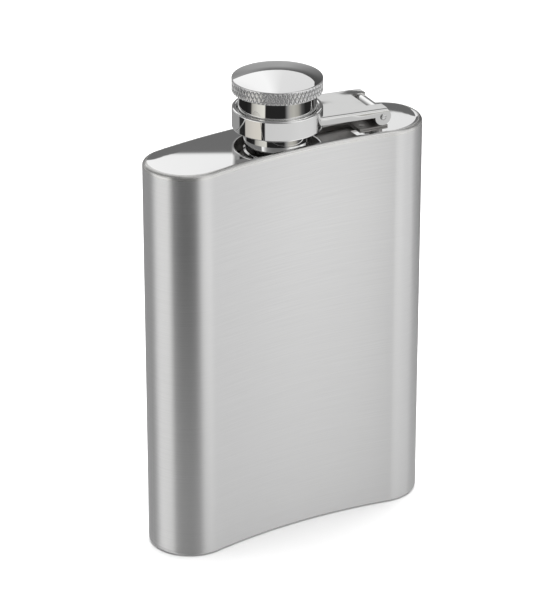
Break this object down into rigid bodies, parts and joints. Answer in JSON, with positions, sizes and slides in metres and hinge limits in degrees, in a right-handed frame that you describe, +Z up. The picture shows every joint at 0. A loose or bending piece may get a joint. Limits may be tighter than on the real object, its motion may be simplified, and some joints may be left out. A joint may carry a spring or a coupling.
{
  "type": "hip flask",
  "caption": "Curved steel pocket flask with a knurled domed screw cap held in a collar on a hinged arm.",
  "frame": {"origin": "middle of the flat base, on the mid-line of the curved section", "axes": "+X along the width towards the hinge, +Y from the concave front to the convex back, +Z up"},
  "size_m": [0.092, 0.029, 0.145],
  "materials": {
    "brushed_body": "fine brushing that runs round the body",
    "polished_plate": "mirror polished stainless steel",
    "polished_fittings": "polished stainless steel",
    "knurled_steel": "satin dome with a diamond-knurled band",
    "pin_steel": "plain turned steel",
    "weld_metal": "dressed weld",
    "seal_rubber": "soft white food-grade silicone"
  },
  "bodies": {
    "flask": {"body_front": "brushed_body", "body_back": "brushed_body", "side_welds": "weld_metal", "top_plate": "polished_plate", "base_plate": "polished_plate", "top_rim_weld": "weld_metal", "base_rim_weld": "weld_metal", "neck": "polished_fittings", "neck_braze": "weld_metal", "hinge_bracket": "polished_fittings", "bracket_welds": "weld_metal"},
    "lid": {"hinge_arm": "polished_fittings", "collar": "polished_fittings", "arm_weld": "weld_metal", "hinge_pin": "pin_steel"},
    "seal": {"cap_liner": "seal_rubber"},
    "cap": {"cap_head": "knurled_steel", "cap_sleeve": "polished_fittings", "retaining_ring": "polished_fittings"}
  },
  "joints": [
    {"name": "lid_swing", "type": "hinge", "parent": "flask", "child": "lid", "pos_m": [0.02934, -0.00245, 0.12804], "axis": [0.0811, 0.9967, 0], "range_deg": [0, 172]},
    {"name": "cap_lower", "type": "slide", "parent": "lid", "child": "seal", "axis": [0, 0, -1], "range_m": [0, 0.0044]},
    {"name": "cap_turn", "type": "hinge", "parent": "seal", "child": "cap", "pos_m": [-0.00084, 0, 0.138], "axis": [0, 0, -1], "range_deg": [0, 720]}
  ],
  "couplings": [
    {"joint": "cap_lower", "follows": "cap_turn", "m_per_rad": 0.00035014}
  ]
}
